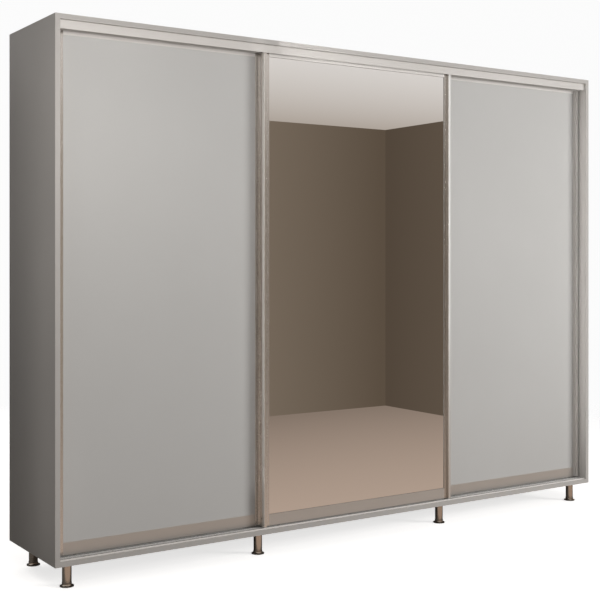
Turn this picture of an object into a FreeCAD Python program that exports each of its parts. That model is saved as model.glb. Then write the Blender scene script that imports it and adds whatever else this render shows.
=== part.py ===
import FreeCAD, Part
import Sketcher
import math
import os

from FreeCAD import Placement, Rotation, Vector

# Three-door sliding wardrobe on eight adjustable legs.
#
# Frame: millimetres, +Z up, the front faces -Y, +X is to the right of someone facing the doors.
# The origin is on the floor, under the middle of the cabinet.
#
# The two outer doors share the rear track and the mirror door runs in the front track.

doc = FreeCAD.newDocument("sliding_wardrobe")
sheet = doc.addObject("Spreadsheet::Sheet", "dims")
sub_parts = []


# ---------------------------------------------------------------- sizes that stay bound to the sheet


class Size:
    """A length together with the sheet formula that gives it, so that arithmetic keeps it bound."""

    def __init__(self, value, formula):
        self.value = float(value)
        self.formula = formula

    def __add__(self, other):
        return Size(self.value + number(other), f"({self.formula} + {formula(other)})")

    def __radd__(self, other):
        return Size(number(other) + self.value, f"({formula(other)} + {self.formula})")

    def __sub__(self, other):
        return Size(self.value - number(other), f"({self.formula} - {formula(other)})")

    def __rsub__(self, other):
        return Size(number(other) - self.value, f"({formula(other)} - {self.formula})")

    def __mul__(self, other):
        return Size(self.value * number(other), f"({self.formula} * {formula(other)})")

    def __rmul__(self, other):
        return Size(number(other) * self.value, f"({formula(other)} * {self.formula})")

    def __truediv__(self, other):
        return Size(self.value / number(other), f"({self.formula} / {formula(other)})")

    def __neg__(self):
        return Size(-self.value, f"(0 - {self.formula})")


def number(value):
    return value.value if isinstance(value, Size) else float(value)


def formula(value):
    return value.formula if isinstance(value, Size) else f"({float(value):.6f})"


def dimension(alias, value):
    """Write one driving dimension into the next row of the sheet and return it as a bound size."""
    row = dimension.rows = getattr(dimension, "rows", 0) + 1
    sheet.set(f"A{row}", alias)
    sheet.set(f"B{row}", str(value))
    sheet.setAlias(f"B{row}", alias)
    return Size(value, f"dims.{alias}")


# cabinet
overall_width = dimension("overall_width", 3200)
overall_height = dimension("overall_height", 2400)
overall_depth = dimension("overall_depth", 560)
board = dimension("outer_board", 22)
inner_board = dimension("inner_board", 18)
back_sheet = dimension("back_sheet", 3)
back_reveal = dimension("back_reveal", 2)
partition_centre = dimension("partition_centre", 565)
inside_setback = dimension("inside_setback", 90)
back_seam = dimension("back_seam", 0.5)
shelf_side_gap = dimension("shelf_side_gap", 0.5)
shelf_back_gap = dimension("shelf_back_gap", 1)
hat_shelf_drop = dimension("hat_shelf_drop", 340)
middle_shelf_count = 5

# legs
leg_height = dimension("leg_height", 100)
leg_radius = dimension("leg_radius", 20)
leg_wall = dimension("leg_wall", 1.5)
leg_plate_radius = dimension("leg_plate_radius", 35)
leg_plate_thickness = dimension("leg_plate_thickness", 4)
foot_radius = dimension("foot_radius", 30)
foot_height = dimension("foot_height", 17)
foot_rim = dimension("foot_rim", 4)
foot_neck_radius = dimension("foot_neck_radius", 21)
foot_flare = dimension("foot_flare", 8.5)
foot_gap = dimension("foot_gap", 0.3)
stem_radius = dimension("stem_radius", 5)
stem_length = dimension("stem_length", 50)
thread_clearance = dimension("thread_clearance", 0.05)
leg_nut_height = dimension("leg_nut_height", 10)
leg_columns = [
    dimension("leg_column_one", -1524),
    dimension("leg_column_two", -579),
    dimension("leg_column_three", 533),
    dimension("leg_column_four", 1510),
]
leg_rows = [dimension("leg_row_front", -217), dimension("leg_row_rear", 178)]

# tracks, top and bottom, each with a front and a rear channel
track_setback = dimension("track_setback", 10)
track_wall = dimension("track_wall", 1.8)
channel_width = dimension("channel_width", 35)
top_track_height = dimension("top_track_height", 38)
fascia_step_height = dimension("fascia_step_height", 20)
fascia_step_depth = dimension("fascia_step_depth", 1.4)
bottom_track_base = dimension("bottom_track_base", 2)
bottom_track_lip = dimension("bottom_track_lip", 6)
bottom_track_rib = dimension("bottom_track_rib", 5)
guide_ridge_height = dimension("guide_ridge_height", 4)
guide_ridge_width = dimension("guide_ridge_width", 1.6)
guide_ridge_offset = dimension("guide_ridge_offset", 3.6)
track_screw_setback = dimension("track_screw_setback", 7)
track_screw_margin = dimension("track_screw_margin", 60)
track_screw_count = 6

# doors
door_bottom_gap = dimension("door_bottom_gap", 8)
door_top_gap = dimension("door_top_gap", 12)
door_side_gap = dimension("door_side_gap", 2)
door_front_gap = dimension("door_front_gap", 2.5)
mirror_door_width = dimension("mirror_door_width", 1148)
door_overlap = dimension("door_overlap", 17)
frame_depth = dimension("frame_depth", 30)
frame_wall = dimension("frame_wall", 1.6)
stile_width = dimension("stile_width", 35.5)
lip_width = dimension("lip_width", 16.5)
lip_proud = dimension("lip_proud", 12)
lip_outer_round = dimension("lip_outer_round", 5)
lip_inner_round = dimension("lip_inner_round", 3)
slot_floor = dimension("slot_floor", 22.4)
slot_width = dimension("slot_width", 10.8)
rail_slot_depth = dimension("rail_slot_depth", 12)
bottom_rail_height = dimension("bottom_rail_height", 54)
bottom_rail_web = dimension("bottom_rail_web", 10)
top_rail_height = dimension("top_rail_height", 40)
top_rail_web = dimension("top_rail_web", 12)
panel_thickness = dimension("panel_thickness", 10)
panel_side_play = dimension("panel_side_play", 1.6)
panel_end_play = dimension("panel_end_play", 1)
mirror_thickness = dimension("mirror_thickness", 4)
mirror_recess = dimension("mirror_recess", 16)
pile_width = dimension("pile_width", 7)
pile_height = dimension("pile_height", 5)
edge_pile_height = dimension("edge_pile_height", 1.6)
edge_pile_setback = dimension("edge_pile_setback", 10)
pile_margin = dimension("pile_margin", 4)
pile_lower_margin = dimension("pile_lower_margin", 3)

# rollers and guides
wheel_radius = dimension("wheel_radius", 15)
wheel_width = dimension("wheel_width", 6)
wheel_lift = dimension("wheel_lift", 0.3)
wheel_bevel = dimension("wheel_bevel", 1.5)
wheel_recess = dimension("wheel_recess", 0.8)
wheel_hub_wall = dimension("wheel_hub_wall", 2.5)
wheel_rim_wall = dimension("wheel_rim_wall", 4)
axle_radius = dimension("axle_radius", 2.95)
wheel_bore_radius = dimension("wheel_bore_radius", 3)
wheel_inset = dimension("wheel_inset", 90)
carrier_length = dimension("carrier_length", 70)
carrier_width = dimension("carrier_width", 14)
carrier_top = dimension("carrier_top", 31.8)
carrier_drop = dimension("carrier_drop", 1)
wheel_slot_width = dimension("wheel_slot_width", 6.8)
wheel_slot_gap = dimension("wheel_slot_gap", 1.5)
guide_length = dimension("guide_length", 40)
guide_head_width = dimension("guide_head_width", 32.6)
guide_head_height = dimension("guide_head_height", 5)
guide_head_lift = dimension("guide_head_lift", 0.5)
guide_head_shift = dimension("guide_head_shift", 0.7)

# fasteners and rods
frame_screw_radius = dimension("frame_screw_radius", 2.4)
frame_screw_reach = dimension("frame_screw_reach", 40)
frame_screw_head_radius = dimension("frame_screw_head_radius", 4.5)
frame_screw_head_height = dimension("frame_screw_head_height", 3)
frame_screw_access_gap = dimension("frame_screw_access_gap", 0.3)
small_screw_radius = dimension("small_screw_radius", 2)
small_screw_reach = dimension("small_screw_reach", 14)
small_screw_head_radius = dimension("small_screw_head_radius", 3.5)
small_screw_head_height = dimension("small_screw_head_height", 2.2)
pin_radius = dimension("pin_radius", 2.5)
pin_half_length = dimension("pin_half_length", 8)
pin_setback = dimension("pin_setback", 50)
cam_radius = dimension("cam_radius", 7.5)
cam_depth = dimension("cam_depth", 13)
cam_distance = dimension("cam_distance", 34)
cam_bolt_radius = dimension("cam_bolt_radius", 3.5)
cam_bolt_reach = dimension("cam_bolt_reach", 11)
cam_setback = dimension("cam_setback", 60)
hanging_rail_height = dimension("hanging_rail_height", 30)
hanging_rail_width = dimension("hanging_rail_width", 15)
hanging_rail_wall = dimension("hanging_rail_wall", 1.2)
hanging_rail_drop = dimension("hanging_rail_drop", 60)
socket_wall = dimension("socket_wall", 3)
socket_depth = dimension("socket_depth", 14)

# places that follow from the dimensions
left = -overall_width / 2
right = overall_width / 2
front = -overall_depth / 2
back = overall_depth / 2
board_back = back - back_sheet
cabinet_floor = leg_height
inside_floor = leg_height + board
inside_top = overall_height - board
inside_left = left + board
inside_right = right - board
inside_front = front + inside_setback
track_front = front + track_setback
track_back = track_front + 3 * track_wall + 2 * channel_width
middle_web = track_front + track_wall + channel_width
door_bottom = inside_floor + door_bottom_gap
door_top = inside_top - door_top_gap
mirror_door_front = track_front + track_wall + door_front_gap
rear_door_front = middle_web + track_wall + door_front_gap
panel_slot_front = lip_proud + frame_wall
panel_slot_back = panel_slot_front + slot_width
roller_line = (lip_proud + frame_depth) / 2
wheel_height = inside_floor + bottom_track_base + wheel_lift + wheel_radius
lower_screw_height = bottom_rail_height - rail_slot_depth - bottom_rail_web / 2
upper_screw_height = rail_slot_depth + top_rail_web / 2


# ---------------------------------------------------------------- building helpers


def bind(target, property_name, size):
    """Bind a property to a sheet formula."""
    target.setExpression(property_name, formula(size))


def place(target, point):
    """Bind an object's position, keeping its rotation."""
    for axis, size in zip("xyz", point):
        bind(target, f"Placement.Base.{axis}", size)


def block(name, low, high):
    """A rectangular block between two corners."""
    box = doc.addObject("Part::Box", name)
    for side, start, end in zip(("Length", "Width", "Height"), low, high):
        bind(box, side, end - start)
    place(box, low)
    return box


AXIS_TURNS = {
    "+X": Rotation(Vector(0, 1, 0), 90),
    "-X": Rotation(Vector(0, 1, 0), -90),
    "+Y": Rotation(Vector(1, 0, 0), -90),
    "-Y": Rotation(Vector(1, 0, 0), 90),
    "+Z": Rotation(),
    "-Z": Rotation(Vector(1, 0, 0), 180),
}


def rod(name, start, direction, radius, length):
    """A round rod that starts at a point and runs along one axis."""
    cylinder = doc.addObject("Part::Cylinder", name)
    cylinder.Placement = Placement(Vector(), AXIS_TURNS[direction])
    bind(cylinder, "Radius", radius)
    bind(cylinder, "Height", length)
    place(cylinder, start)
    return cylinder


def fuse(name, pieces):
    fusion = doc.addObject("Part::MultiFuse", name)
    fusion.Shapes = pieces
    fusion.Refine = True
    return fusion


def group(name, pieces):
    """Separate solids that share one node."""
    compound = doc.addObject("Part::Compound", name)
    compound.Links = pieces
    return compound


def cut(name, base, tools):
    """A base with one or more tools taken away."""
    difference = doc.addObject("Part::Cut", name)
    difference.Base = base
    difference.Tool = tools[0] if len(tools) == 1 else group(f"{name}_tools", tools)
    return difference


def sub_part(label, shape_object):
    """Name a finished sub-part: its label is its file's name."""
    shape_object.Label = label
    sub_parts.append(shape_object)
    return shape_object


def origin_plane(body, role):
    return next(plane for plane in body.Origin.OriginFeatures if plane.Role == role)


def outline(body, name, role, points):
    """A closed, straight-sided sketch on an origin plane, with every corner bound to the sheet."""
    sketch = body.newObject("Sketcher::SketchObject", name)
    sketch.AttachmentSupport = [(origin_plane(body, role), "")]
    sketch.MapMode = "FlatFace"
    corners = [Vector(number(across), number(up), 0) for across, up in points]
    count = len(corners)
    for index, corner in enumerate(corners):
        sketch.addGeometry(Part.LineSegment(corner, corners[(index + 1) % count]), False)
    for index in range(count):
        sketch.addConstraint(Sketcher.Constraint("Coincident", index, 2, (index + 1) % count, 1))
    for index, (across, up) in enumerate(points):
        for kind, size, axis_line in (("DistanceX", across, -2), ("DistanceY", up, -1)):
            if number(size) == 0:
                sketch.addConstraint(Sketcher.Constraint("PointOnObject", index, 1, axis_line))
                continue
            row = sketch.addConstraint(
                Sketcher.Constraint(kind, -1, 1, index, 1, number(size))
            )
            bind(sketch, f"Constraints[{row}]", size)
    return sketch


def extrusion(name, role, points, length):
    """A profile drawn on an origin plane and padded along that plane's normal."""
    body = doc.addObject("PartDesign::Body", name)
    sketch = outline(body, f"{name}_profile", role, points)
    pad = body.newObject("PartDesign::Pad", f"{name}_pad")
    pad.Profile = sketch
    bind(pad, "Length", length)
    return body


def turning(name, points):
    """A profile of radius and height, turned about the body's own Z axis."""
    body = doc.addObject("PartDesign::Body", name)
    sketch = outline(body, f"{name}_profile", "XZ_Plane", points)
    revolution = body.newObject("PartDesign::Revolution", f"{name}_turn")
    revolution.Profile = sketch
    revolution.ReferenceAxis = (sketch, ["V_Axis"])
    revolution.Angle = 360
    return body


def round_edges(body, name, radius, chosen):
    """Fillet the edges of the body's last feature that a test picks."""
    doc.recompute()
    feature = body.Tip
    names = [f"Edge{i}" for i, edge in enumerate(feature.Shape.Edges, 1) if chosen(edge)]
    if not names:
        raise RuntimeError(f"{name}: no edge to round")
    fillet = body.newObject("PartDesign::Fillet", name)
    fillet.Base = (feature, names)
    bind(fillet, "Radius", radius)
    return fillet


def upright_at(across, depth):
    """Pick upright edges at one place of a profile."""

    def chosen(edge):
        near = [abs(v.X - number(across)) + abs(v.Y - number(depth)) < 0.01 for v in edge.Vertexes]
        return len(near) == 2 and all(near)

    return chosen


def circle_at(radius, height):
    """Pick full circles of one radius at one height of a turned piece."""

    def chosen(edge):
        curve = edge.Curve
        is_circle = isinstance(curve, Part.Circle)
        return (
            is_circle
            and abs(curve.Radius - number(radius)) < 0.01
            and abs(curve.Center.z - number(height)) < 0.01
        )

    return chosen


def screw(name, seat, direction, shank, reach, head, head_height):
    """A screw whose head sits on a seat and whose shank runs in one direction from it."""
    opposite = {"+": "-", "-": "+"}[direction[0]] + direction[1]
    return fuse(
        name,
        [
            rod(f"{name}_shank", seat, direction, shank, reach),
            rod(f"{name}_head", seat, opposite, head, head_height),
        ],
    )


def small_screw(name, seat, direction):
    return screw(
        name,
        seat,
        direction,
        small_screw_radius,
        small_screw_reach,
        small_screw_head_radius,
        small_screw_head_height,
    )


# ---------------------------------------------------------------- where the cabinet's fasteners go

shelf_pin_rows = [inside_front + pin_setback, board_back - pin_setback]
hat_shelf_low = inside_top - hat_shelf_drop
partition_faces = [
    -partition_centre - inner_board / 2,
    -partition_centre + inner_board / 2,
    partition_centre - inner_board / 2,
    partition_centre + inner_board / 2,
]
middle_bay_height = (inside_top - inside_floor - middle_shelf_count * inner_board) / (
    middle_shelf_count + 1
)
middle_shelf_lows = [
    inside_floor + (row + 1) * middle_bay_height + row * inner_board
    for row in range(middle_shelf_count)
]

# the wall that a pin stands in, the direction in which it points into the bay, and its shelf's underside
pin_places = {"left": [], "right": []}
for wall, toward, underside in (
    [(inside_left, "+X", hat_shelf_low), (partition_faces[0], "-X", hat_shelf_low)]
    + [(partition_faces[1], "+X", low) for low in middle_shelf_lows]
    + [(partition_faces[2], "-X", low) for low in middle_shelf_lows]
    + [(partition_faces[3], "+X", hat_shelf_low), (inside_right, "-X", hat_shelf_low)]
):
    side = "left" if number(wall) < 0 else "right"
    for depth in shelf_pin_rows:
        pin_places[side].append((wall, toward, depth, underside - pin_radius))


def pin_start(wall, toward):
    """A pin begins half its length inside the wall."""
    return wall - pin_half_length if toward == "+X" else wall + pin_half_length


def pin_rods(prefix, side, on_panel):
    """The pins of one half of the cabinet, or only those that stand in one panel."""
    rods = []
    for wall, toward, depth, height in pin_places[side]:
        if on_panel(number(wall)):
            start = (pin_start(wall, toward), depth, height)
            name = f"{prefix}_{len(rods)}"
            rods.append(rod(name, start, toward, pin_radius, 2 * pin_half_length))
    return rods


cam_rows = [inside_front + cam_setback, board_back - cam_setback]


def cam_fitting_tools(name, corner, bolt_direction, disc_direction):
    """The bolt and the cam disc of one joint; the corner is on the joint, in the middle of the board."""
    sign = 1 if bolt_direction[0] == "+" else -1
    axis = "XYZ".index(bolt_direction[1])
    start = list(corner)
    start[axis] = corner[axis] - sign * cam_distance
    bolt = rod(
        f"{name}_bolt", start, bolt_direction, cam_bolt_radius, cam_distance + cam_bolt_reach
    )
    disc_sign = 1 if disc_direction[0] == "+" else -1
    disc_axis = "XYZ".index(disc_direction[1])
    seat = list(start)
    # the disc's flat end lies flush with the face of its board
    reach = board / 2 if axis == 0 else inner_board / 2
    seat[disc_axis] = start[disc_axis] + disc_sign * reach
    inward = {"+": "-", "-": "+"}[disc_direction[0]] + disc_direction[1]
    disc = rod(f"{name}_disc", seat, inward, cam_radius, cam_depth)
    return bolt, disc


def cam_places():
    """Each joint's board that holds the disc, board that holds the bolt, and the fitting's corner."""
    places = []
    for depth in cam_rows:
        for deck, height, disc in (
            ("bottom", cabinet_floor + board / 2, "+Z"),
            ("top", inside_top + board / 2, "-Z"),
        ):
            places.append((deck, "side_left", (inside_left, depth, height), "-X", disc))
            places.append((deck, "side_right", (inside_right, depth, height), "+X", disc))
        for side, centre in (("left", -partition_centre), ("right", partition_centre)):
            disc = "+X" if side == "left" else "-X"
            partition = f"partition_{side}"
            places.append((partition, "bottom", (centre, depth, inside_floor), "-Z", disc))
            places.append((partition, "top", (centre, depth, inside_top), "+Z", disc))
    return places


def cam_holes(prefix, board_name):
    """What has to be drilled out of one board for the cam fittings."""
    tools = []
    for index, (holder, receiver, corner, bolt_way, disc_way) in enumerate(cam_places()):
        if board_name not in (holder, receiver):
            continue
        bolt, disc = cam_fitting_tools(f"{prefix}_{index}", corner, bolt_way, disc_way)
        tools.append(fuse(f"{prefix}_{index}_hole", [bolt, disc]))
    return tools


screw_pitch = (inside_right - inside_left - 2 * track_screw_margin) / (track_screw_count - 1)
screw_columns = [
    inside_left + track_screw_margin + step * screw_pitch for step in range(track_screw_count)
]
track_screw_rows = [mirror_door_front + track_screw_setback, rear_door_front + track_screw_setback]


def track_screws(prefix):
    """Screws that hold both tracks to the cabinet, as bound solids."""
    screws = []
    for column_index, column in enumerate(screw_columns):
        for row_index, depth in enumerate(track_screw_rows):
            tag = f"{prefix}_{column_index}_{row_index}"
            low_seat = (column, depth, inside_floor + bottom_track_base)
            high_seat = (column, depth, inside_top - track_wall)
            screws.append(small_screw(f"{tag}_low", low_seat, "-Z"))
            screws.append(small_screw(f"{tag}_high", high_seat, "+Z"))
    return screws


def track_holes(prefix, low):
    """Shank holes for one of the two tracks and for the board behind it."""
    seat = inside_floor + bottom_track_base if low else inside_top - track_wall
    direction = "-Z" if low else "+Z"
    return [
        rod(f"{prefix}_{i}_{j}", (column, depth, seat), direction, small_screw_radius, small_screw_reach)
        for i, column in enumerate(screw_columns)
        for j, depth in enumerate(track_screw_rows)
    ]


leg_screw_circle = (leg_radius + leg_plate_radius) / 2


def leg_screw_seats():
    """Under each leg's plate, four screws on the diagonals."""
    seats = []
    for column in leg_columns:
        for depth in leg_rows:
            for across, along in ((-1, -1), (-1, 1), (1, -1), (1, 1)):
                offset = leg_screw_circle * math.sqrt(0.5)
                seats.append(
                    (
                        column + across * offset,
                        depth + along * offset,
                        leg_height - leg_plate_thickness,
                    )
                )
    return seats


# ---------------------------------------------------------------- cabinet


def side_panels():
    for side, low, high, sign in (
        ("left", left, inside_left, -1),
        ("right", inside_right, right, 1),
    ):
        name = f"side_panel_{side}"
        blank = block(
            f"{name}_blank", (low, front, cabinet_floor), (high, board_back, overall_height)
        )
        pins = pin_rods(f"{name}_pin", side, lambda wall: wall * sign > number(inside_right) - 1)
        cams = cam_holes(f"{name}_cam", f"side_{side}")
        sub_part(name, cut(f"{name}_cut", blank, pins + cams))


def decks():
    """The bottom and top boards, between the side panels."""
    bottom = block(
        "bottom_blank", (inside_left, front, cabinet_floor), (inside_right, board_back, inside_floor)
    )
    leg_holes = [
        rod(f"bottom_leg_hole_{i}", seat, "+Z", small_screw_radius, small_screw_reach)
        for i, seat in enumerate(leg_screw_seats())
    ]
    tools = leg_holes + cam_holes("bottom_cam", "bottom") + track_holes("bottom_track_hole", True)
    sub_part("bottom_panel", cut("bottom_cut", bottom, tools))
    top = block(
        "top_blank", (inside_left, front, inside_top), (inside_right, board_back, overall_height)
    )
    tools = cam_holes("top_cam", "top") + track_holes("top_track_hole", False)
    sub_part("top_panel", cut("top_cut", top, tools))


def partitions():
    for side, low, high in (
        ("left", partition_faces[0], partition_faces[1]),
        ("right", partition_faces[2], partition_faces[3]),
    ):
        name = f"partition_{side}"
        blank = block(
            f"{name}_blank", (low, inside_front, inside_floor), (high, board_back, inside_top)
        )
        pins = pin_rods(f"{name}_pin", side, lambda wall: abs(wall) < number(inside_right) - 1)
        sub_part(name, cut(f"{name}_cut", blank, pins + cam_holes(f"{name}_cam", name)))


def back_panels():
    """Three thin sheets on the back edges, which meet behind the partitions."""
    for name, low, high in (
        ("left", left + back_reveal, -partition_centre - back_seam),
        ("middle", -partition_centre + back_seam, partition_centre - back_seam),
        ("right", partition_centre + back_seam, right - back_reveal),
    ):
        sheet_block = block(
            f"back_{name}",
            (low, board_back, cabinet_floor + back_reveal),
            (high, back, overall_height - back_reveal),
        )
        sub_part(f"back_panel_{name}", sheet_block)


def shelves():
    for side, low, high in (
        ("left", inside_left, partition_faces[0]),
        ("right", partition_faces[3], inside_right),
    ):
        shelf = block(
            f"hat_{side}",
            (low + shelf_side_gap, inside_front, hat_shelf_low),
            (high - shelf_side_gap, board_back - shelf_back_gap, hat_shelf_low + inner_board),
        )
        sub_part(f"hat_shelf_{side}", shelf)
    middle = [
        block(
            f"middle_shelf_{row}",
            (partition_faces[1] + shelf_side_gap, inside_front, low),
            (partition_faces[2] - shelf_side_gap, board_back - shelf_back_gap, low + inner_board),
        )
        for row, low in enumerate(middle_shelf_lows)
    ]
    sub_part("middle_shelves", group("middle_shelf_group", middle))
    pins = pin_rods("pin_left", "left", lambda wall: True)
    pins += pin_rods("pin_right", "right", lambda wall: True)
    sub_part("shelf_pins", group("shelf_pin_group", pins))


def oval_bar(name, low_x, high_x, depth, height, growth):
    """A bar along X of an upright oval section, larger than the hanging rail all round by growth."""
    radius = hanging_rail_width / 2 + growth
    spread = (hanging_rail_height - hanging_rail_width) / 2
    middle = block(
        f"{name}_middle",
        (low_x, depth - radius, height - spread),
        (high_x, depth + radius, height + spread),
    )
    ends = [
        rod(f"{name}_end_{i}", (low_x, depth, height + sign * spread), "+X", radius, high_x - low_x)
        for i, sign in enumerate((-1, 1))
    ]
    return fuse(name, [middle] + ends)


def hanging_rails():
    """An oval tube under each hat shelf, held at both ends in cup sockets."""
    rails = []
    sockets = []
    height = hat_shelf_low - hanging_rail_drop
    depth = (inside_front + board_back) / 2
    for side, low, high in (
        ("left", inside_left, partition_faces[0]),
        ("right", partition_faces[3], inside_right),
    ):
        start = low + socket_wall
        end = high - socket_wall
        outer = oval_bar(f"rail_{side}_outer", start, end, depth, height, 0)
        bore = oval_bar(f"rail_{side}_bore", start - 1, end + 1, depth, height, -hanging_rail_wall)
        rails.append(cut(f"rail_{side}", outer, [bore]))
        for end_name, cup_low, cup_high in (
            ("start", low, low + socket_depth),
            ("end", high - socket_depth, high),
        ):
            name = f"socket_{side}_{end_name}"
            cup = oval_bar(f"{name}_cup", cup_low, cup_high, depth, height, socket_wall)
            seat = oval_bar(f"{name}_seat", start, end, depth, height, 0)
            sockets.append(cut(name, cup, [seat]))
    sub_part("hanging_rails", group("hanging_rail_group", rails))
    sub_part("rail_sockets", group("rail_socket_group", sockets))


def cam_fittings():
    """Each cam disc is notched where its bolt enters it."""
    pieces = []
    for index, (_, _, corner, bolt_way, disc_way) in enumerate(cam_places()):
        bolt, disc = cam_fitting_tools(f"cam_{index}", corner, bolt_way, disc_way)
        notch, _ = cam_fitting_tools(f"cam_notch_{index}", corner, bolt_way, disc_way)
        pieces += [bolt, cut(f"cam_{index}_notched", disc, [notch])]
    sub_part("cam_fittings", group("cam_fitting_group", pieces))


# ---------------------------------------------------------------- legs and feet


def legs():
    """Round steel legs with a plate on top and a threaded end plate that takes the foot's stem."""
    height = leg_height - foot_height - foot_gap
    tube_inner = leg_radius - leg_wall
    plate_low = height - leg_plate_thickness
    bore = stem_radius + thread_clearance
    section = [
        (bore, 0),
        (leg_radius, 0),
        (leg_radius, plate_low),
        (leg_plate_radius, plate_low),
        (leg_plate_radius, height),
        (0, height),
        (0, plate_low),
        (tube_inner, plate_low),
        (tube_inner, leg_nut_height),
        (bore, leg_nut_height),
    ]
    tubes = []
    seats = leg_screw_seats()
    places = [(column, depth) for column in leg_columns for depth in leg_rows]
    for index, (column, depth) in enumerate(places):
        tube = turning(f"leg_tube_{index}", section)
        place(tube, (column, depth, foot_height + foot_gap))
        holes = [
            rod(f"leg_hole_{index}_{i}", seat, "+Z", small_screw_radius, small_screw_reach)
            for i, seat in enumerate(seats[4 * index : 4 * index + 4])
        ]
        tubes.append(cut(f"leg_{index}", tube, holes))
        add_foot(index, column, depth)
    sub_part("leg_tubes", group("leg_tube_group", tubes))
    screws = [small_screw(f"leg_screw_{i}", seat, "+Z") for i, seat in enumerate(seats)]
    sub_part("leg_screws", group("leg_screw_group", screws))


def add_foot(index, column, depth):
    """A flared levelling foot with its stem."""
    section = [
        (0, 0),
        (foot_radius, 0),
        (foot_radius, foot_rim),
        (foot_neck_radius, foot_rim),
        (foot_neck_radius, foot_height),
        (stem_radius, foot_height),
        (stem_radius, stem_length),
        (0, stem_length),
    ]
    foot = turning(f"foot_blank_{index}", section)
    round_edges(foot, f"foot_flare_{index}", foot_flare, circle_at(foot_neck_radius, foot_rim))
    place(foot, (column, depth, 0))
    row = "front" if index % 2 == 0 else "rear"
    sub_part(f"foot_{row}_{index // 2 + 1}", foot)


# ---------------------------------------------------------------- tracks


def top_track():
    """Two channels that open downward, with a stepped fascia in front."""
    depth = track_back - track_front
    floor = top_track_height - track_wall
    second = track_wall + channel_width
    third = second + track_wall + channel_width
    section = [
        (0, 0),
        (track_wall, 0),
        (track_wall, fascia_step_height - track_wall),
        (track_wall + fascia_step_depth, fascia_step_height - track_wall),
        (track_wall + fascia_step_depth, floor),
        (second, floor),
        (second, 0),
        (second + track_wall, 0),
        (second + track_wall, floor),
        (third, floor),
        (third, 0),
        (depth, 0),
        (depth, top_track_height),
        (fascia_step_depth, top_track_height),
        (fascia_step_depth, fascia_step_height),
        (0, fascia_step_height),
    ]
    track = extrusion("top_track_bar", "YZ_Plane", section, inside_right - inside_left)
    place(track, (inside_left, track_front, inside_top - top_track_height))
    sub_part("top_track", cut("top_track_cut", track, track_holes("top_track_drill", False)))


def bottom_track():
    """A low bar with a lip at each edge, a rib in the middle and two ridges beside each wheel's path."""
    depth = track_back - track_front
    second = track_wall + channel_width
    heights = [
        (0, track_wall, bottom_track_lip),
        (second, second + track_wall, bottom_track_rib),
        (depth - track_wall, depth, bottom_track_rib),
    ]
    for door_front in (mirror_door_front, rear_door_front):
        wheel_line = door_front + roller_line - track_front
        for start in (
            wheel_line - guide_ridge_offset - guide_ridge_width,
            wheel_line + guide_ridge_offset,
        ):
            heights.append((start, start + guide_ridge_width, guide_ridge_height))
    heights.sort(key=lambda rib: number(rib[0]))
    section = [(0, 0), (depth, 0)]
    for low, high, height in reversed(heights):
        outer = [(high, bottom_track_base)] if number(high) < number(depth) else []
        inner = [(low, bottom_track_base)] if number(low) > 0 else []
        section += outer + [(high, height), (low, height)] + inner
    track = extrusion("bottom_track_bar", "YZ_Plane", section, inside_right - inside_left)
    place(track, (inside_left, track_front, inside_floor))
    drilled = cut("bottom_track_cut", track, track_holes("bottom_track_drill", True))
    sub_part("bottom_track", drilled)
    sub_part("track_screws", group("track_screw_group", track_screws("track_screw")))


# ---------------------------------------------------------------- doors


def stile(name, mirrored, x_edge, y_front):
    """An upright of the door frame: a proud rounded lip, an inner flat and a slot for the panel."""
    way = -1 if mirrored else 1
    section = [
        (0, 0),
        (lip_width, 0),
        (lip_width, lip_proud),
        (stile_width, lip_proud),
        (stile_width, panel_slot_front),
        (slot_floor, panel_slot_front),
        (slot_floor, panel_slot_back),
        (stile_width, panel_slot_back),
        (stile_width, panel_slot_back + frame_wall),
        (slot_floor, panel_slot_back + frame_wall),
        (slot_floor, frame_depth),
        (0, frame_depth),
    ]
    cavity = [
        (frame_wall, frame_wall),
        (lip_width - frame_wall, frame_wall),
        (lip_width - frame_wall, panel_slot_front),
        (slot_floor - frame_wall, panel_slot_front),
        (slot_floor - frame_wall, frame_depth - frame_wall),
        (frame_wall, frame_depth - frame_wall),
    ]
    length = door_top - door_bottom
    bar = extrusion(f"{name}_bar", "XY_Plane", [(way * x, y) for x, y in section], length)
    round_edges(bar, f"{name}_outer_round", lip_outer_round, upright_at(0, 0))
    round_edges(bar, f"{name}_inner_round", lip_inner_round, upright_at(way * lip_width, 0))
    sketch = outline(bar, f"{name}_cavity", "XY_Plane", [(way * x, y) for x, y in cavity])
    pocket = bar.newObject("PartDesign::Pocket", f"{name}_hollow")
    pocket.Profile = sketch
    pocket.Type = "ThroughAll"
    pocket.Midplane = True
    place(bar, (x_edge, y_front, door_bottom))
    inward = "-X" if mirrored else "+X"
    tools = []
    for index, height in enumerate(frame_screw_heights()):
        line = (x_edge - way, y_front + roller_line, height)
        access_radius = frame_screw_head_radius + frame_screw_access_gap
        access = rod(f"{name}_access_{index}", line, inward, access_radius, frame_wall + 2)
        shank = rod(f"{name}_shank_{index}", line, inward, frame_screw_radius, slot_floor + 2)
        tools += [access, shank]
    return cut(name, bar, [fuse(f"{name}_drill", tools)])


def frame_screw_heights():
    return [door_bottom + lower_screw_height, door_top - top_rail_height + upper_screw_height]


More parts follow.
